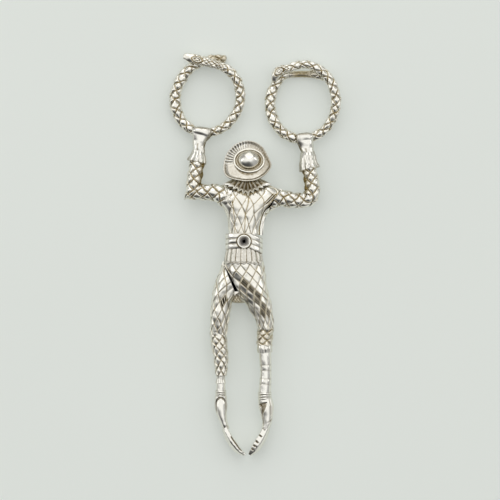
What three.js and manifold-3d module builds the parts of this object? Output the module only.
// Scissor-action sugar tongs cast as a costumed figure, lying face down.
// Two cast halves turn on one rivet at the belt. The arms hold finger rings in the
// shape of coiled serpents, and the feet are the cupped jaws that lift the sugar.
// Frame: origin on the pivot axis at the table, +Y towards the finger rings, +Z up.
// Left and right are as seen from above with the rings at the top. Sizes in millimetres.
import * as THREE from "three";
import { mergeVertices } from "three/addons/utils/BufferGeometryUtils.js";
import Module from "manifold-3d";

const wasm = await Module();
wasm.setup();

// Clearances.
const HINGE_GAP = 0.2; // between the sliding faces of the two halves
const SEAM = 0.25; // at a soldered seam between two pieces of one half
const SWING = 0.3; // between pieces of different halves that pass each other
const RUNNING = 0.1; // around and along the rivet

// Main sizes.
const HINGE_HEIGHT = 5.0; // the sliding plane above the table
const JACKET_TOP = 16.2; // from the pivot to the neck
const LEG_LENGTH = 58.9; // from the hip to the tip of the jaw
const HIP_DROP = 0.4; // from the skirt to the top of the legs
const LEFT_ARM_REACH = 15.8; // from the pivot out to the elbow
const RIGHT_ARM_REACH = 21.0;
const LEFT_ELBOW_DROP = 0.8; // below the neck
const RIGHT_ELBOW_DROP = 2.9;
const FOREARM_LENGTH = 20.7; // from the elbow to the end of the fist

// Belt and pivot.
const BELT_TOP = 2.5;
const BELT_BOTTOM = -2.1;
const BELT_HALF_WIDTH = 5.6;
const BELT_HALF_DEPTH = 3.6;
const RIVET_RADIUS = 1.2;
const RIVET_HEAD_RADIUS = 1.5;
const RIVET_HEAD_HEIGHT = 0.75; // above the belt
const RIVET_DISH_DEPTH = 0.55;
const RIVET_DISH_LIP = 0.12;
const RIVET_DISH_BEND = [0.7, 0.35]; // shares of its radius and depth
const RIVET_PIT_RADIUS = 0.36;
const RIVET_PIT_DEPTH = 1.2;
const RIVET_TAIL_RADIUS = 2.1;
const RIVET_TAIL_HEIGHT = 0.6;
const COLLET_WALL = 0.6;
const COLLET_HEIGHT = 0.9; // above the belt
const WASHER_RADIUS = 2.5;
const WASHER_HEIGHT = 0.4;

// Jacket, skirt and seat.
const JACKET_HALF_WIDTH = 6.4;
const JACKET_HALF_DEPTH = 3.9;
const JACKET_LEAN = 0.8; // how far the neck stands to one side
const SKIRT_BOTTOM = -7.0;
const SKIRT_HALF_WIDTH = 6.2;
const SKIRT_HALF_DEPTH = 4.1;
const SKIRT_LEAN = -0.1;
const SKIRT_PLEATS = 18;
const SKIRT_PLEAT_DEPTH = 0.32;
const SEAT_BOTTOM = -17.4;
const SEAT_HALF_WIDTH = 6.1;
const SEAT_HALF_DEPTH = 3.7;
const HIP_SEAM_TOP_X = 6.5; // where the hip seams start under the skirt, either side
const HIP_SEAM_BOTTOM_X = 1.1; // where they end at the fork
const SHOULDER_SEAM_LOW = [0.7, 5.8]; // outside the chest and below the neck
const SHOULDER_SEAM_HIGH = [4.5, 1.2];
// Shapes of the trunk's pieces: [share of the height, of the lean, of the width, of the depth].
const JACKET_SHAPE = [
  [0, 0.38, 0.8, 0.86],
  [0.28, 0.44, 0.84, 0.94],
  [0.525, 0.69, 0.96, 1],
  [0.755, 0.75, 1, 1],
  [0.895, 0.88, 0.92, 0.87],
  [1, 1, 0.625, 0.72],
];
const BELT_SHAPE = [
  [0, 0, 1, 1],
  [1, 0, 1, 1],
];
const SKIRT_SHAPE = [
  [0, 1, 0.87, 0.88],
  [0.5, 1, 0.95, 0.95],
  [1, 1, 1, 1],
];
const SEAT_SHAPE = [
  [0, 0, 1, 1],
  [0.32, 0, 1, 1],
  [0.625, 0, 0.8, 0.89],
  [0.86, 0, 0.54, 0.7],
  [1, 0, 0.25, 0.46],
];

// Head, hat and collar.
const NECK_RADIUS = 2.2;
const NECK_RISE = 2.8; // of the neck's bend above the jacket
const NECK_SINK = 0.3; // of the neck's bend below the sliding plane
const HEAD_LEAN = 1.2;
const HEAD_RISE = 7.6; // of the head's middle above the jacket
const HEAD_SINK = 1.2; // of the head's middle below the sliding plane
const HEAD_HALF_WIDTH = 3.1;
const HEAD_HALF_HEIGHT = 3.9;
const HEAD_HALF_DEPTH = 3.5;
const HAT_LEAN = 1.35;
const HAT_RISE = 8.3;
const HAT_HEIGHT = 1.8; // of the brim above the sliding plane
const HAT_TILT = THREE.MathUtils.degToRad(18);
const BRIM_HALF_WIDTH = 7.4;
const BRIM_HALF_LENGTH = 6.6;
const BRIM_THICKNESS = 0.5;
const BRIM_LIP = 0.5; // how far the edge turns up
const BRIM_LIP_UNDER = 1.2; // the width of the turned-up edge, below and above
const BRIM_LIP_OVER = 1.4;
const BAND_RADIUS = 4.2;
const BAND_THICKNESS = 0.62;
const CROWN_RADIUS = 3.25;
const CROWN_HEIGHT = 2.7;
const RUFF_PLEATS = 17;
const RUFF_PLEAT_DEPTH = 0.22;
const RUFF_THICKNESS = 0.5;
const RUFF_SLACK = 0.55; // between the neck and the collar
const RUFF_HALF_WIDTH = 6.9;
const RUFF_HALF_DEPTH = 4.1;
const RUFF_BULGE = 0.5; // how much further it stands out over the back
const RUFF_LEAN = 0.9;
const RUFF_RIM_LEAN = 0.7;
const RUFF_RISE = 2.5; // of its inner edge above the jacket
const RUFF_RIM_RISE = 1.7;
const RUFF_DROP = 4.1; // how far the collar's point hangs down the back
const RUFF_DROP_POWER = 1.3; // how sharp that point is

// Finger rings.
const RING_HALF_WIDTH = 10.0;
const RING_HALF_LENGTH = 11.15;
const SERPENT_RADIUS = 1.45;
const SERPENT_BELLY_RADIUS = 1.7; // the thickest part, beside the hand
const SERPENT_TAIL_RADIUS = 0.75;
const SERPENT_NECK_RADIUS = 1.25;
const SERPENT_OVERLAP = THREE.MathUtils.degToRad(44); // the tail's length under the neck
const SERPENT_NECK_RISE = 3.7; // height of the neck's middle
const SERPENT_TAIL_RISE = 0.85;
const SERPENT_NECK_FLARE = 1.17; // how far the neck stands outside the ring
const SERPENT_TAIL_FLARE = 0.9;
const SERPENT_NECK_SHARE = 0.14; // of the whole length
const SERPENT_TAIL_SHARE = 0.18;
const SERPENT_STATIONS = 27;
const SERPENT_SIDES = 10;
const LEFT_GRIP = THREE.MathUtils.degToRad(-102); // where the hand holds the ring
const LEFT_NECK = THREE.MathUtils.degToRad(92); // where the serpent's neck ends
const LEFT_TILT = THREE.MathUtils.degToRad(-18); // of the ring's long axis
const RIGHT_GRIP = THREE.MathUtils.degToRad(-86);
const RIGHT_NECK = THREE.MathUtils.degToRad(107);
const RIGHT_TILT = THREE.MathUtils.degToRad(-12);
// The serpent's thickness along its length, from neck to tail, as [share, radius].
const SERPENT_TAPER = [
  [0, SERPENT_NECK_RADIUS],
  [0.15, SERPENT_RADIUS],
  [0.45, SERPENT_RADIUS],
  [0.6, SERPENT_BELLY_RADIUS],
  [0.75, SERPENT_RADIUS],
  [1, SERPENT_TAIL_RADIUS],
];
const SERPENT_HEAD_LENGTH = 6.2;
const SERPENT_HEAD_HALF_WIDTH = 1.6;
// The head's outline from neck to snout: [share of its length, of its width, of its height].
const SERPENT_HEAD_SHAPE = [
  [0, 1.0, 1.0],
  [0.3, 1.0, 0.95],
  [0.6, 0.8, 0.75],
  [0.85, 0.55, 0.5],
  [1, 0.25, 0.3],
];

// Jaws.
const JAW_HALF_DEPTH = 3.0;
const JAW_CUP_DEPTH = 0.85;
const JAW_WALL = 0.8;
const JAW_RIM_SHARE = 0.96; // of the jaw's depth, where the hollow starts

const LIMB_SIDES = 14;
const TRUNK_SIDES = 32;
const POST_SIDES = 32;
const SWING_SIDES = 64; // of the round room that a swinging piece needs
const HAT_SIDES = 36;
const RIVET_SIDES = 24;
const ELBOW_RUN_ON = 4; // how far the sleeves run on before the elbow is cut
const REACH = 200; // larger than the whole part

const point = (x, y, z) => new THREE.Vector3(x, y, z);

// Limbs: each section is [x, y, z, half width across the picture, half depth in height].
// Heights are above the sliding plane. Upper sleeves are drawn out from the pivot and up from
// the elbow, forearms out and up from the elbow, legs out from the pivot and down from the hip.
const LEFT_UPPER_SLEEVE = [
  [2.5, -1.8, 0, 2.6, 2.7],
  [5.8, -1.0, 0, 2.45, 2.5],
  [9.0, -0.2, -0.1, 2.35, 2.35],
  [12.2, -0.1, -0.3, 2.3, 2.3],
  [15.8, 0, -0.5, 2.25, 2.25],
];
const LEFT_LOWER_SLEEVE = [
  [0, 0, -0.5, 2.25, 2.25],
  [0.3, 3.2, -0.8, 2.2, 2.2],
  [0.8, 6.4, -1.2, 2.15, 2.1],
  [1.2, 8.8, -1.5, 2.1, 2.0],
];
const LEFT_CUFF = [
  [1.2, 8.8, -1.5, 2.95, 2.6],
  [1.5, 10.8, -1.65, 2.45, 2.2],
  [1.75, 12.8, -1.8, 1.95, 1.8],
];
const LEFT_HAND = [
  [1.75, 12.8, -1.8, 1.8, 1.6],
  [1.9, 14.8, -2.1, 1.85, 1.7],
  [2.0, 16.6, -2.4, 2.5, 2.1],
  [2.05, 18.5, -2.6, 2.95, 2.35],
  [2.1, 20.6, -2.7, 2.7, 2.0],
];
const RIGHT_UPPER_SLEEVE = [
  [3.0, -0.3, 0, 2.6, 2.7],
  [7.0, 0.2, 0, 2.6, 2.6],
  [10.6, 0.3, 0, 2.5, 2.5],
  [14.0, -0.4, -0.1, 2.35, 2.35],
  [17.4, -0.6, -0.3, 2.15, 2.2],
  [21.0, 0, -0.5, 2.15, 2.2],
];
const RIGHT_LOWER_SLEEVE = [
  [0, 0, -0.5, 2.2, 2.2],
  [0.1, 3.1, -0.8, 2.15, 2.15],
  [-0.2, 6.3, -1.1, 2.1, 2.1],
  [-0.8, 8.9, -1.4, 2.05, 2.0],
];
const RIGHT_CUFF = [
  [-0.8, 8.9, -1.4, 3.1, 2.7],
  [-1.35, 11.5, -1.6, 2.5, 2.2],
  [-1.7, 13.7, -1.8, 1.95, 1.8],
];
const RIGHT_HAND = [
  [-1.7, 13.7, -1.8, 1.85, 1.6],
  [-1.9, 15.3, -2.1, 1.85, 1.7],
  [-2.0, 16.9, -2.4, 2.3, 2.1],
  [-2.1, 18.7, -2.6, 2.75, 2.35],
  [-2.15, 20.8, -2.7, 2.55, 2.0],
];
const LEFT_THIGH = [
  [-3.9, 0, 0, 3.9, 3.2],
  [-5.0, 4.5, 0, 3.8, 3.2],
  [-6.1, 8.6, -0.1, 3.2, 3.0],
  [-7.0, 13.8, -0.3, 2.95, 2.8],
  [-7.6, 17.6, -0.55, 2.8, 2.65],
  [-8.0, 21.2, -0.8, 2.5, 2.5],
];
const LEFT_CALF = [
  [-8.0, 21.2, -0.8, 2.5, 2.5],
  [-7.6, 25.0, -0.7, 2.45, 2.45],
  [-7.15, 29.3, -0.6, 2.15, 2.3],
  [-7.1, 34.0, -0.8, 1.65, 1.8],
];
const LEFT_HEM = [
  [-7.1, 34.0, -0.8, 1.45, 1.55],
  [-7.25, 35.0, -0.85, 1.3, 1.4],
  [-7.25, 36.6, -0.9, 1.6, 1.65],
];
const LEFT_STOCKING = [
  [-7.25, 36.6, -0.9, 1.4, 1.45],
  [-7.2, 38.0, -0.95, 1.45, 1.5],
  [-7.2, 39.4, -1.0, 1.55, 1.6],
];
const LEFT_BOOT_TOP = [
  [-7.2, 39.4, -1.0, 1.6, 1.65],
  [-7.2, 39.9, -1.0, 1.75, 1.8],
  [-7.2, 40.4, -1.05, 1.6, 1.65],
  [-7.25, 40.9, -1.1, 1.75, 1.8],
  [-7.25, 41.4, -1.1, 1.6, 1.65],
];
const LEFT_BOOT = [
  [-7.25, 41.4, -1.1, 1.65, 1.75],
  [-7.1, 44.0, -1.25, 1.85, 2.2],
  [-6.95, 46.6, -1.45, 1.45, 2.35],
  [-6.4, 48.8, -1.6, 1.2, 2.3],
  [-5.5, 50.7, -1.7, 1.05, 2.2],
];
const LEFT_JAW = [
  [-5.5, 50.7, -1.7, 0.5, 0.7],
  [-4.05, 53.0, -1.8, 0.85, 0.95],
  [-2.5, 55.2, -1.9, 1.0, 1.0],
  [-0.9, 57.2, -1.9, 0.75, 0.75],
  [0.62, 58.9, -1.9, 0.25, 0.35],
];
const RIGHT_THIGH = [
  [2.4, 0, 0, 3.9, 3.2],
  [3.1, 4.6, 0, 3.7, 3.2],
  [4.3, 9.8, -0.1, 3.35, 3.0],
  [5.45, 13.8, -0.3, 3.05, 2.8],
  [6.4, 16.8, -0.55, 2.75, 2.65],
  [6.75, 19.4, -0.8, 2.45, 2.5],
];
const RIGHT_CALF = [
  [6.75, 19.4, -0.8, 2.4, 2.45],
  [6.5, 22.2, -0.65, 2.5, 2.5],
  [6.4, 24.8, -0.55, 2.4, 2.4],
];
const RIGHT_HEM = [
  [6.4, 24.8, -0.55, 2.25, 2.25],
  [6.4, 25.8, -0.55, 2.55, 2.5],
  [6.45, 26.9, -0.6, 2.1, 2.1],
];
const RIGHT_STOCKING = [
  [6.45, 26.9, -0.6, 1.9, 1.9],
  [6.6, 29.5, -0.65, 1.95, 2.0],
  [6.75, 31.9, -0.7, 1.7, 1.8],
  [6.7, 34.9, -0.8, 1.8, 1.85],
  [6.55, 37.2, -0.9, 1.95, 2.0],
  [6.4, 39.4, -1.0, 2.0, 2.0],
];
const RIGHT_BOOT_TOP = [
  [6.4, 39.4, -1.0, 2.0, 2.0],
  [6.4, 39.9, -1.0, 2.2, 2.2],
  [6.45, 40.5, -1.05, 2.0, 2.0],
  [6.45, 41.0, -1.1, 2.2, 2.2],
  [6.5, 41.5, -1.1, 2.0, 2.0],
];
const RIGHT_BOOT = [
  [6.5, 41.5, -1.1, 2.2, 2.1],
  [6.9, 43.8, -1.25, 2.35, 2.4],
  [7.1, 46.4, -1.45, 1.95, 2.4],
  [7.1, 48.8, -1.6, 1.5, 2.35],
  [6.5, 50.9, -1.7, 1.2, 2.2],
];
const RIGHT_JAW = [
  [6.5, 50.9, -1.7, 0.5, 0.7],
  [5.4, 53.1, -1.8, 0.85, 0.95],
  [4.0, 55.2, -1.9, 1.0, 1.0],
  [2.6, 57.2, -1.9, 0.75, 0.75],
  [1.3, 58.9, -1.9, 0.25, 0.35],
];

// Closes a row of equal rings of points into a skin, with end caps unless it runs round.
function skin(rings, runsRound = false) {
  const count = rings[0].length;
  const corners = [];
  for (const ring of rings) {
    for (const corner of ring) corners.push(corner.x, corner.y, corner.z);
  }
  const faces = [];
  const spans = runsRound ? rings.length : rings.length - 1;
  for (let row = 0; row < spans; row += 1) {
    const below = row * count;
    const above = ((row + 1) % rings.length) * count;
    for (let side = 0; side < count; side += 1) {
      const next = (side + 1) % count;
      faces.push(below + side, below + next, above + next);
      faces.push(below + side, above + next, above + side);
    }
  }
  if (!runsRound) {
    for (const [ring, turn] of [[0, -1], [rings.length - 1, 1]]) {
      const middle = corners.length / 3;
      const centre = new THREE.Vector3();
      for (const corner of rings[ring]) centre.addScaledVector(corner, 1 / count);
      corners.push(centre.x, centre.y, centre.z);
      for (let side = 0; side < count; side += 1) {
        const here = ring * count + side;
        const next = ring * count + ((side + 1) % count);
        faces.push(middle, turn > 0 ? here : next, turn > 0 ? next : here);
      }
    }
  }
  const geometry = new THREE.BufferGeometry();
  geometry.setAttribute("position", new THREE.Float32BufferAttribute(corners, 3));
  geometry.setIndex(faces);
  return geometry;
}

// Turns a closed geometry into a solid for joining and cutting, facing outwards.
function solid(geometry) {
  const bare = new THREE.BufferGeometry();
  bare.setAttribute("position", geometry.getAttribute("position"));
  if (geometry.index) bare.setIndex(geometry.index);
  const welded = mergeVertices(bare, 1e-4);
  const corners = Float32Array.from(welded.getAttribute("position").array);
  const faces = [];
  const index = welded.index.array;
  let volume = 0;
  for (let at = 0; at < index.length; at += 3) {
    const [a, b, c] = [index[at], index[at + 1], index[at + 2]];
    if (a === b || b === c || c === a) continue;
    faces.push(a, b, c);
    const [p, q, r] = [a, b, c].map((n) => new THREE.Vector3().fromArray(corners, n * 3));
    volume += p.dot(q.cross(r));
  }
  if (volume < 0) faces.reverse();
  const mesh = new wasm.Mesh({
    numProp: 3,
    vertProperties: corners,
    triVerts: Uint32Array.from(faces),
  });
  return new wasm.Manifold(mesh);
}

// Turns a solid back into a geometry for a mesh.
function surface(body) {
  const mesh = body.getMesh();
  const geometry = new THREE.BufferGeometry();
  geometry.setAttribute("position", new THREE.Float32BufferAttribute(mesh.vertProperties, 3));
  geometry.setIndex(Array.from(mesh.triVerts));
  geometry.computeVertexNormals();
  return geometry;
}

// Everything on one side of a plane, the side that the normal points to.
function beyond(through, normal) {
  const block = new THREE.BoxGeometry(REACH, REACH, REACH);
  block.translate(0, 0, REACH / 2);
  const turn = new THREE.Quaternion().setFromUnitVectors(point(0, 0, 1), normal);
  block.applyQuaternion(turn);
  block.translate(through.x, through.y, through.z);
  return solid(block);
}

const UP = point(0, 0, 1);
const upperHalf = beyond(point(0, 0, HINGE_HEIGHT + HINGE_GAP / 2), UP);
const lowerHalf = beyond(point(0, 0, HINGE_HEIGHT - HINGE_GAP / 2), UP.clone().negate());

// An upright cylinder on the pivot axis.
function post(radius, bottom, top, segments = POST_SIDES) {
  const geometry = new THREE.CylinderGeometry(radius, radius, top - bottom, segments);
  geometry.rotateX(Math.PI / 2);
  geometry.translate(0, 0, (bottom + top) / 2);
  return solid(geometry);
}

// The frame of a limb's section: its middle and the directions of its two half sizes.
function sectionFrame(spine, along) {
  const tangent = spine.getTangent(along);
  const across = new THREE.Vector3().crossVectors(tangent, UP).normalize();
  const deep = new THREE.Vector3().crossVectors(across, tangent).normalize();
  return { middle: spine.getPoint(along), tangent, across, deep };
}

// The smooth spine through the sections of limb pieces that follow one another, and the
// range of each piece on it. A piece starts at the section that ends the piece before it.
function chainSpine(pieces) {
  const middles = [];
  pieces.forEach((sections, order) => {
    const fresh = order === 0 ? sections : sections.slice(1);
    fresh.forEach(([x, y, z]) => middles.push(point(x, y, z)));
  });
  const spans = middles.length - 1;
  let begun = 0;
  const ranges = pieces.map((sections) => {
    const from = begun / spans;
    begun += sections.length - 1;
    return [from, begun / spans];
  });
  return { spine: new THREE.CatmullRomCurve3(middles), ranges };
}

// The frames along one piece of a chain, its ends set back by half a seam or run on.
function frames(sections, spine, [from, to], stepsEach, runOn = [0, 0]) {
  const sizes = new THREE.CatmullRomCurve3(sections.map(([, , , a, b]) => point(a, b, 0)));
  const steps = (sections.length - 1) * stepsEach;
  const rows = [];
  for (let step = 0; step <= steps; step += 1) {
    const share = step / steps;
    const frame = sectionFrame(spine, THREE.MathUtils.lerp(from, to, share));
    if (step === 0) frame.middle.addScaledVector(frame.tangent, SEAM / 2 - runOn[0]);
    if (step === steps) frame.middle.addScaledVector(frame.tangent, runOn[1] - SEAM / 2);
    const size = sizes.getPoint(share);
    rows.push({ ...frame, halfWidth: size.x, halfDepth: size.y });
  }
  return rows;
}

// A limb piece: oval sections swept along its range of the spine.
function limb(sections, spine, range, { stepsEach = 2, sides = LIMB_SIDES, runOn } = {}) {
  const rings = frames(sections, spine, range, stepsEach, runOn).map((frame) => {
    const ring = [];
    for (let side = 0; side < sides; side += 1) {
      const angle = (2 * Math.PI * side) / sides;
      const corner = frame.middle.clone();
      corner.addScaledVector(frame.across, frame.halfWidth * Math.cos(angle));
      corner.addScaledVector(frame.deep, frame.halfDepth * Math.sin(angle));
      ring.push(corner);
    }
    return ring;
  });
  return solid(skin(rings));
}

// Places drawn sections of a limb: scaled and shifted along each axis, [scale, shift].
function placed(sections, [scaleX, shiftX], [scaleY, shiftY]) {
  return sections.map(([x, y, z, ...sizes]) => [
    shiftX + scaleX * x,
    shiftY + scaleY * y,
    HINGE_HEIGHT + z,
    ...sizes,
  ]);
}

// A limb piece with a spine of its own.
function loneLimb(sections, options) {
  const { spine, ranges } = chainSpine([sections]);
  return limb(sections, spine, ranges[0], options);
}

// A piece of the trunk: upright ovals stacked along Y between two ends.
function trunk(shape, { from, to, lean = 0, halfWidth, halfDepth }, options = {}) {
  const { sides = TRUNK_SIDES, pleats = 0, pleatDepth = 0, grow = 0 } = options;
  const rings = shape.map(([share, leanShare, widthShare, depthShare]) => {
    const y = THREE.MathUtils.lerp(from, to, share);
    const centre = lean * leanShare;
    const ring = [];
    for (let side = 0; side < sides; side += 1) {
      const angle = (2 * Math.PI * side) / sides;
      const fold = pleatDepth * Math.cos(pleats * angle) + grow;
      const x = centre + (halfWidth * widthShare + fold) * Math.cos(angle);
      const z = (halfDepth * depthShare + fold) * Math.sin(angle);
      ring.push(point(x, y, HINGE_HEIGHT + z));
    }
    return ring;
  });
  return solid(skin(rings));
}

// A solid turned about the pivot's direction from a profile of [radius, height] pairs.
function turned(profile, segments = HAT_SIDES) {
  const geometry = new THREE.LatheGeometry(
    profile.map(([radius, height]) => new THREE.Vector2(radius, height)),
    segments,
  );
  geometry.rotateX(Math.PI / 2);
  return solid(geometry);
}

// A flat ring with the given height range.
function washerRing(inner, outer, bottom, top) {
  return post(outer, bottom, top).subtract(post(inner, bottom - 1, top + 1));
}

// Makes a named mesh with a material of its own.
function piece(name, body, finish) {
  const material = new THREE.MeshStandardMaterial(finish);
  const mesh = new THREE.Mesh(surface(body), material);
  mesh.name = name;
  return mesh;
}

function group(name, ...members) {
  const set = new THREE.Group();
  set.name = name;
  set.add(...members);
  return set;
}

const ENGRAVED = { color: 0xb9b3a6, roughness: 0.38, metalness: 1.0 };
const POLISHED = { color: 0xd8d6d0, roughness: 0.18, metalness: 1.0 };
const TARNISHED = { color: 0x8f7f68, roughness: 0.42, metalness: 1.0 };

// Seam planes through two points of the picture, seen from above.
function seamPlane([x0, y0], [x1, y1]) {
  const along = point(x1 - x0, y1 - y0, 0).normalize();
  return { through: point(x0, y0, 0), normal: point(along.y, -along.x, 0) };
}

function sideOf(plane, way, setBack) {
  const normal = plane.normal.clone().multiplyScalar(way);
  return beyond(plane.through.clone().addScaledVector(normal, setBack), normal);
}

const mirrored = ([x, y]) => [-x, y];
const [shoulderLow, shoulderHigh] = [SHOULDER_SEAM_LOW, SHOULDER_SEAM_HIGH].map(
  ([out, drop]) => [JACKET_HALF_WIDTH + out, JACKET_TOP - drop],
);
const rightShoulderSeam = seamPlane(shoulderLow, shoulderHigh);
const leftShoulderSeam = seamPlane(mirrored(shoulderLow), mirrored(shoulderHigh));
const hipSeamTop = [HIP_SEAM_TOP_X, SKIRT_BOTTOM];
const hipSeamBottom = [HIP_SEAM_BOTTOM_X, SEAT_BOTTOM + SWING];
const rightHipSeam = seamPlane(hipSeamBottom, hipSeamTop);
const leftHipSeam = seamPlane(mirrored(hipSeamBottom), mirrored(hipSeamTop));

// Trunk.
const jacketSize = {
  from: BELT_TOP + SEAM,
  to: JACKET_TOP,
  lean: JACKET_LEAN,
  halfWidth: JACKET_HALF_WIDTH,
  halfDepth: JACKET_HALF_DEPTH,
};
const jacketBody = trunk(JACKET_SHAPE, jacketSize);
const jacketRoom = trunk(JACKET_SHAPE, jacketSize, { grow: SWING });
const leftElbowY = JACKET_TOP - LEFT_ELBOW_DROP;
const rightElbowY = JACKET_TOP - RIGHT_ELBOW_DROP;
const leftUpperSections = placed(
  LEFT_UPPER_SLEEVE,
  [-LEFT_ARM_REACH / LEFT_UPPER_SLEEVE.at(-1)[0], 0],
  [1, leftElbowY],
);
const rightUpperSections = placed(
  RIGHT_UPPER_SLEEVE,
  [RIGHT_ARM_REACH / RIGHT_UPPER_SLEEVE.at(-1)[0], 0],
  [1, rightElbowY],
);
const leftUpperSleeve = loneLimb(leftUpperSections, { runOn: [0, ELBOW_RUN_ON] });
const rightUpperSleeve = loneLimb(rightUpperSections, { runOn: [0, ELBOW_RUN_ON] });
const leftShoulder = leftUpperSleeve.intersect(sideOf(leftShoulderSeam, 1, SEAM / 2));
const rightShoulder = rightUpperSleeve.intersect(sideOf(rightShoulderSeam, -1, SEAM / 2));
const upperJacket = jacketBody.add(leftShoulder).add(rightShoulder).intersect(upperHalf);
// Under the neck the lower half keeps to a circle about the pivot, so that it swings clear.
const neckSwing = post(JACKET_TOP, 0, 2 * HINGE_HEIGHT, SWING_SIDES);
const lowerJacket = jacketBody.intersect(neckSwing).add(rightShoulder).intersect(lowerHalf);
const neckSwingRoom = post(JACKET_TOP + SWING, 0, 2 * HINGE_HEIGHT, SWING_SIDES);

const beltSize = { halfWidth: BELT_HALF_WIDTH, halfDepth: BELT_HALF_DEPTH };
const beltBody = trunk(BELT_SHAPE, { ...beltSize, from: BELT_BOTTOM, to: BELT_TOP });
const beltBand = beltBody.subtract(post(RIVET_RADIUS + RUNNING, 0, 2 * HINGE_HEIGHT));

const skirtSize = {
  from: BELT_BOTTOM - SEAM,
  to: SKIRT_BOTTOM,
  lean: SKIRT_LEAN,
  halfWidth: SKIRT_HALF_WIDTH,
  halfDepth: SKIRT_HALF_DEPTH,
};
const skirtBody = trunk(SKIRT_SHAPE, skirtSize, {
  sides: 4 * SKIRT_PLEATS,
  pleats: SKIRT_PLEATS,
  pleatDepth: SKIRT_PLEAT_DEPTH,
});

const seatBody = trunk(SEAT_SHAPE, {
  from: SKIRT_BOTTOM - SEAM,
  to: SEAT_BOTTOM,
  halfWidth: SEAT_HALF_WIDTH,
  halfDepth: SEAT_HALF_DEPTH,
});

// A cupped jaw: crescent sections, the hollow turned to the other jaw.
// The sections' sizes are shares of the cup's depth and of the jaw's half depth.
function jaw(sections, spine, range, inward) {
  const halfSides = 8;
  const rings = frames(sections, spine, range, 3).map((frame) => {
    const spot = (share, offset) =>
      frame.middle
        .clone()
        .addScaledVector(frame.across, inward * offset)
        .addScaledVector(frame.deep, share * frame.halfDepth * JAW_HALF_DEPTH);
    const cup = (share) => -JAW_CUP_DEPTH * frame.halfWidth * (1 - share * share);
    const ring = [];
    for (let side = 0; side <= halfSides; side += 1) {
      const share = -1 + (2 * side) / halfSides;
      ring.push(spot(share, cup(share) - JAW_WALL / 2));
    }
    for (let side = 0; side <= halfSides; side += 1) {
      const share = 1 - (2 * side) / halfSides;
      ring.push(spot(share * JAW_RIM_SHARE, cup(share) + JAW_WALL / 2));
    }
    return ring;
  });
  return solid(skin(rings));
}

// A whole leg from hip to jaw tip, its drawn pieces stretched to the leg's length.
function leg(drawn, inward) {
  const stretch = LEG_LENGTH / drawn.at(-1).at(-1)[1];
  const down = [-stretch, SKIRT_BOTTOM - HIP_DROP];
  const pieces = drawn.map((sections) => placed(sections, [1, 0], down));
  const [thigh, calf, hem, stocking, bootTop, boot, jawSections] = pieces;
  const { spine, ranges } = chainSpine(pieces);
  return {
    thigh: limb(thigh, spine, ranges[0]),
    calf: limb(calf, spine, ranges[1]),
    hem: limb(hem, spine, ranges[2]),
    stocking: limb(stocking, spine, ranges[3]),
    bootTop: limb(bootTop, spine, ranges[4], { stepsEach: 1 }),
    boot: limb(boot, spine, ranges[5]),
    jaw: jaw(jawSections, spine, ranges[6], inward),
  };
}

const leftLeg = leg([
  LEFT_THIGH, LEFT_CALF, LEFT_HEM, LEFT_STOCKING, LEFT_BOOT_TOP, LEFT_BOOT, LEFT_JAW,
], -1);
const rightLeg = leg([
  RIGHT_THIGH, RIGHT_CALF, RIGHT_HEM, RIGHT_STOCKING, RIGHT_BOOT_TOP, RIGHT_BOOT, RIGHT_JAW,
], 1);

const skirtCorner = Math.hypot(SKIRT_HALF_WIDTH + SKIRT_PLEAT_DEPTH, SKIRT_BOTTOM);
const skirtSwing = post(skirtCorner + SWING, 0, 2 * HINGE_HEIGHT, SWING_SIDES);

const leftThigh = leftLeg.thigh
  .intersect(sideOf(leftHipSeam, -1, SWING / 2))
  .subtract(skirtSwing);
const rightThigh = rightLeg.thigh
  .intersect(sideOf(rightHipSeam, 1, SWING / 2))
  .subtract(skirtSwing);
const upperSeat = seatBody
  .intersect(upperHalf)
  .intersect(sideOf(leftHipSeam, 1, SWING / 2))
  .intersect(sideOf(rightHipSeam, -1, SWING / 2));
const lowerSeat = seatBody
  .intersect(lowerHalf)
  .intersect(sideOf(leftHipSeam, 1, SWING / 2))
  .intersect(sideOf(rightHipSeam, -1, SWING / 2));

// Cuts two tubes that meet at an elbow along the plane that halves the bend.
function mitred(upper, lower, upperSections, lowerSections) {
  const elbow = point(...lowerSections[0].slice(0, 3));
  const [before] = upperSections.slice(-2);
  const after = lowerSections[1];
  const out = elbow.clone().sub(point(...before.slice(0, 3))).normalize();
  const away = point(...after.slice(0, 3)).sub(elbow).normalize();
  const normal = out.add(away).normalize();
  const near = elbow.clone().addScaledVector(normal, -SEAM / 2);
  const far = elbow.clone().addScaledVector(normal, SEAM / 2);
  return [
    upper.intersect(beyond(near, normal.clone().negate())),
    lower.intersect(beyond(far, normal)),
  ];
}

// A forearm from elbow to fingers, its drawn pieces stretched to the forearm's length.
function forearm(drawn, elbowX, elbowY) {
  const stretch = FOREARM_LENGTH / drawn.at(-1).at(-1)[1];
  const pieces = drawn.map((sections) => placed(sections, [1, elbowX], [stretch, elbowY]));
  const [sleeve, cuff, hand] = pieces;
  const { spine, ranges } = chainSpine(pieces);
  return {
    sleeveSections: sleeve,
    handSections: hand,
    sleeve: limb(sleeve, spine, ranges[0], { runOn: [ELBOW_RUN_ON, 0] }),
    cuff: limb(cuff, spine, ranges[1]),
    hand: limb(hand, spine, ranges[2]),
  };
}

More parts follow.
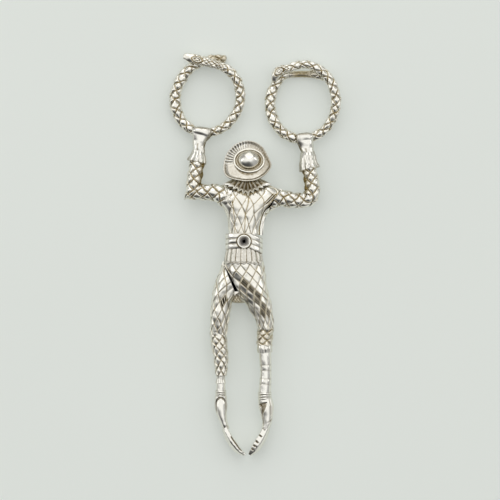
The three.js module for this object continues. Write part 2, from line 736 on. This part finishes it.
const leftForearm = forearm(
  [LEFT_LOWER_SLEEVE, LEFT_CUFF, LEFT_HAND], -LEFT_ARM_REACH, leftElbowY,
);
const rightForearm = forearm(
  [RIGHT_LOWER_SLEEVE, RIGHT_CUFF, RIGHT_HAND], RIGHT_ARM_REACH, rightElbowY,
);
const [leftSleeveUp, leftSleeveDown] = mitred(
  leftUpperSleeve
    .intersect(sideOf(leftShoulderSeam, -1, SEAM / 2))
    .add(leftUpperSleeve.intersect(lowerHalf).subtract(neckSwingRoom))
    .subtract(jacketRoom),
  leftForearm.sleeve,
  leftUpperSections,
  leftForearm.sleeveSections,
);
const [rightSleeveUp, rightSleeveDown] = mitred(
  rightUpperSleeve.intersect(sideOf(rightShoulderSeam, 1, SEAM / 2)).subtract(jacketRoom),
  rightForearm.sleeve,
  rightUpperSections,
  rightForearm.sleeveSections,
);

const ease = (share) => share * share * (3 - 2 * share);

// The serpent's radius at a share of its length.
function serpentRadius(share) {
  const later = Math.max(1, SERPENT_TAPER.findIndex(([at]) => at >= share));
  const [from, thick] = SERPENT_TAPER[later - 1];
  const [to, thin] = SERPENT_TAPER[later];
  return THREE.MathUtils.lerp(thick, thin, ease((share - from) / (to - from)));
}

// A serpent coiled once round as a finger ring and placed by the hand that grips it. The
// neck stands outside the ring and above it, the tail runs inside and below.
function serpent(hand, { grip, neck, tilt }) {
  const reach = (angle, flare) => {
    const x = RING_HALF_WIDTH * flare * Math.cos(angle - tilt);
    const y = RING_HALF_LENGTH * flare * Math.sin(angle - tilt);
    return point(x, y, 0).applyAxisAngle(UP, tilt);
  };
  const [gripX, gripY] = hand.at(-2);
  const middle = point(gripX, gripY, 0).sub(reach(grip, 1));
  const sweep = 2 * Math.PI + SERPENT_OVERLAP;
  const at = (share) => {
    const neckShare = ease(Math.max(0, 1 - share / SERPENT_NECK_SHARE));
    const tailShare = ease(Math.max(0, 1 - (1 - share) / SERPENT_TAIL_SHARE));
    const flare =
      1 + (SERPENT_NECK_FLARE - 1) * neckShare + (SERPENT_TAIL_FLARE - 1) * tailShare;
    const rise = THREE.MathUtils.lerp(SERPENT_NECK_RISE, SERPENT_TAIL_RISE, share);
    return reach(neck - share * sweep, flare).add(middle).setZ(rise);
  };
  const bodySections = [];
  for (let station = 0; station <= SERPENT_STATIONS; station += 1) {
    const share = station / SERPENT_STATIONS;
    const radius = serpentRadius(share);
    bodySections.push([...at(share).toArray(), radius, radius]);
  }
  const headRoot = at(0);
  const forward = headRoot.clone().sub(at(1 / SERPENT_STATIONS)).setZ(0).normalize();
  const headSections = SERPENT_HEAD_SHAPE.map(([share, width, height]) => {
    const place = headRoot.clone().addScaledVector(forward, share * SERPENT_HEAD_LENGTH);
    return [
      ...place.toArray(),
      SERPENT_HEAD_HALF_WIDTH * width,
      SERPENT_NECK_RADIUS * height,
    ];
  });
  const roomSections = bodySections.map(([x, y, z, a, b]) => [x, y, z, a + SEAM, b + SEAM]);
  return {
    body: loneLimb(bodySections, { sides: SERPENT_SIDES }),
    head: loneLimb(headSections, { sides: SERPENT_SIDES }),
    room: loneLimb(roomSections, { sides: SERPENT_SIDES }),
  };
}

const leftSerpent = serpent(leftForearm.handSections, {
  grip: LEFT_GRIP,
  neck: LEFT_NECK,
  tilt: LEFT_TILT,
});
const rightSerpent = serpent(rightForearm.handSections, {
  grip: RIGHT_GRIP,
  neck: RIGHT_NECK,
  tilt: RIGHT_TILT,
});

// Head, hat and collar.
const hatUp = point(0, Math.sin(HAT_TILT), Math.cos(HAT_TILT));
const hatCentre = point(HAT_LEAN, JACKET_TOP + HAT_RISE, HINGE_HEIGHT + HAT_HEIGHT);
const headCentre = point(HEAD_LEAN, JACKET_TOP + HEAD_RISE, HINGE_HEIGHT - HEAD_SINK);
const underBrim = hatCentre.clone().addScaledVector(hatUp, -BRIM_THICKNESS / 2 - SEAM);
const skull = new THREE.SphereGeometry(1, 20, 14);
skull.scale(HEAD_HALF_WIDTH, HEAD_HALF_HEIGHT, HEAD_HALF_DEPTH);
skull.translate(headCentre.x, headCentre.y, headCentre.z);
const neckMiddles = [
  point(JACKET_LEAN, JACKET_TOP + SWING, HINGE_HEIGHT),
  point(RUFF_LEAN, JACKET_TOP + NECK_RISE, HINGE_HEIGHT - NECK_SINK),
  headCentre,
];
const neck = loneLimb(
  neckMiddles.map((middle) => [...middle.toArray(), NECK_RADIUS, NECK_RADIUS]),
);
const head = solid(skull).add(neck).intersect(beyond(underBrim, hatUp.clone().negate()));

const brimWidthScale = BRIM_HALF_WIDTH / BRIM_HALF_LENGTH;
const halfBrim = BRIM_THICKNESS / 2;
const brim = turned([
  [0, -halfBrim],
  [BRIM_HALF_LENGTH - BRIM_LIP_UNDER, -halfBrim],
  [BRIM_HALF_LENGTH, BRIM_LIP - halfBrim],
  [BRIM_HALF_LENGTH, BRIM_LIP + halfBrim],
  [BRIM_HALF_LENGTH - BRIM_LIP_OVER, halfBrim],
  [0, halfBrim],
]).scale([brimWidthScale, 1, 1]);
const bandProfile = [];
for (let side = 0; side <= 8; side += 1) {
  const angle = (2 * Math.PI * side) / 8;
  bandProfile.push([
    BAND_RADIUS + BAND_THICKNESS * Math.cos(angle),
    halfBrim + SEAM + BAND_THICKNESS * (1 + Math.sin(angle)),
  ]);
}
const band = turned(bandProfile).scale([brimWidthScale, 1, 1]);
const crownProfile = [[0, halfBrim + SEAM]];
for (let step = 0; step <= 7; step += 1) {
  const angle = (Math.PI * step) / 14;
  crownProfile.push([
    CROWN_RADIUS * Math.cos(angle),
    halfBrim + SEAM + CROWN_HEIGHT * Math.sin(angle),
  ]);
}
const crown = turned(crownProfile);

const ruffRings = [];
const ruffSteps = 3 * RUFF_PLEATS;
for (let step = 0; step < ruffSteps; step += 1) {
  const angle = (2 * Math.PI * step) / ruffSteps;
  const above = Math.max(0, Math.sin(angle));
  const fold = RUFF_PLEAT_DEPTH * Math.cos(RUFF_PLEATS * angle);
  const innerRadius = NECK_RADIUS + RUFF_SLACK;
  const inner = point(RUFF_LEAN, JACKET_TOP + RUFF_RISE, HINGE_HEIGHT).add(
    point(innerRadius * Math.cos(angle), 0, innerRadius * Math.sin(angle)),
  );
  const outer = point(
    RUFF_RIM_LEAN + RUFF_HALF_WIDTH * Math.cos(angle),
    JACKET_TOP + RUFF_RIM_RISE - RUFF_DROP * above ** RUFF_DROP_POWER,
    HINGE_HEIGHT + (RUFF_HALF_DEPTH + RUFF_BULGE * above) * Math.sin(angle),
  );
  const outward = outer.clone().sub(inner).normalize();
  const around = point(-Math.sin(angle), 0, Math.cos(angle));
  const normal = new THREE.Vector3().crossVectors(outward, around).normalize();
  if (normal.y < 0) normal.negate();
  const half = RUFF_THICKNESS / 2;
  ruffRings.push([
    inner.clone().addScaledVector(normal, half),
    outer.clone().addScaledVector(normal, half + fold),
    outer.clone().addScaledVector(normal, fold - half),
    inner.clone().addScaledVector(normal, -half),
  ]);
}
const ruff = solid(skin(ruffRings, true));

// Pivot.
const beltSurface = HINGE_HEIGHT + BELT_HALF_DEPTH;
const rivetTop = beltSurface + RIVET_HEAD_HEIGHT;
const dishFloor = rivetTop - RIVET_DISH_DEPTH;
const rivetNeck = beltSurface + RUNNING;
const rivet = turned([
  [0, dishFloor - RIVET_PIT_DEPTH],
  [RIVET_PIT_RADIUS, dishFloor - RIVET_PIT_DEPTH],
  [RIVET_PIT_RADIUS, dishFloor],
  [RIVET_HEAD_RADIUS * RIVET_DISH_BEND[0], dishFloor + RIVET_DISH_DEPTH * RIVET_DISH_BEND[1]],
  [RIVET_HEAD_RADIUS - RIVET_DISH_LIP, rivetTop],
  [RIVET_HEAD_RADIUS, rivetTop],
  [RIVET_HEAD_RADIUS, rivetNeck],
  [RIVET_RADIUS, rivetNeck],
  [RIVET_RADIUS, RIVET_TAIL_HEIGHT],
  [RIVET_TAIL_RADIUS, RIVET_TAIL_HEIGHT],
  [RIVET_TAIL_RADIUS, 0],
  [0, 0],
], RIVET_SIDES);
const colletInner = RIVET_HEAD_RADIUS + RUNNING;
const colletBody = washerRing(
  colletInner,
  colletInner + COLLET_WALL,
  HINGE_HEIGHT,
  beltSurface + COLLET_HEIGHT,
);
const beltRoom = trunk(BELT_SHAPE, { ...beltSize, from: -REACH, to: REACH }, { grow: RUNNING });
const collet = colletBody.subtract(beltRoom);
const washerBottom = RIVET_TAIL_HEIGHT + RUNNING;
const washer = washerRing(
  RIVET_RADIUS + RUNNING,
  WASHER_RADIUS,
  washerBottom,
  washerBottom + WASHER_HEIGHT,
);

const hat = group(
  "hat",
  piece("hat_brim", brim, POLISHED),
  piece("hat_band", band, ENGRAVED),
  piece("hat_crown", crown, POLISHED),
);
hat.position.copy(hatCentre);
hat.rotation.x = -HAT_TILT;

const upper = group(
  "upper_half",
  piece("upper_jacket", upperJacket, ENGRAVED),
  piece("upper_belt", beltBand.intersect(upperHalf), POLISHED),
  piece("upper_skirt", skirtBody.intersect(upperHalf), POLISHED),
  piece("upper_seat", upperSeat, ENGRAVED),
  piece("head", head, POLISHED),
  hat,
  piece("ruff_collar", ruff, POLISHED),
  group(
    "left_arm",
    piece("left_upper_sleeve", leftSleeveUp, ENGRAVED),
    piece("left_lower_sleeve", leftSleeveDown, ENGRAVED),
    piece("left_cuff", leftForearm.cuff, POLISHED),
    piece("left_hand", leftForearm.hand.subtract(leftSerpent.room), POLISHED),
    piece("left_serpent_body", leftSerpent.body, ENGRAVED),
    piece("left_serpent_head", leftSerpent.head, ENGRAVED),
  ),
  group(
    "right_leg",
    piece("right_thigh", rightThigh, ENGRAVED),
    piece("right_calf", rightLeg.calf, ENGRAVED),
    piece("right_hem", rightLeg.hem, POLISHED),
    piece("right_stocking", rightLeg.stocking, POLISHED),
    piece("right_boot_top", rightLeg.bootTop, POLISHED),
    piece("right_boot", rightLeg.boot, POLISHED),
    piece("right_jaw", rightLeg.jaw, POLISHED),
  ),
  group(
    "pivot",
    piece("pivot_rivet", rivet, TARNISHED),
    piece("pivot_collet", collet, POLISHED),
    piece("pivot_washer", washer, POLISHED),
  ),
);

const lower = group(
  "lower_half",
  piece("lower_jacket", lowerJacket, ENGRAVED),
  piece("lower_belt", beltBand.intersect(lowerHalf), POLISHED),
  piece("lower_skirt", skirtBody.intersect(lowerHalf), POLISHED),
  piece("lower_seat", lowerSeat, ENGRAVED),
  group(
    "right_arm",
    piece("right_upper_sleeve", rightSleeveUp, ENGRAVED),
    piece("right_lower_sleeve", rightSleeveDown, ENGRAVED),
    piece("right_cuff", rightForearm.cuff, POLISHED),
    piece("right_hand", rightForearm.hand.subtract(rightSerpent.room), POLISHED),
    piece("right_serpent_body", rightSerpent.body, ENGRAVED),
    piece("right_serpent_head", rightSerpent.head, ENGRAVED),
  ),
  group(
    "left_leg",
    piece("left_thigh", leftThigh, ENGRAVED),
    piece("left_calf", leftLeg.calf, ENGRAVED),
    piece("left_hem", leftLeg.hem, POLISHED),
    piece("left_stocking", leftLeg.stocking, POLISHED),
    piece("left_boot_top", leftLeg.bootTop, POLISHED),
    piece("left_boot", leftLeg.boot, POLISHED),
    piece("left_jaw", leftLeg.jaw, POLISHED),
  ),
);

export default group("sugar_tongs", upper, lower);
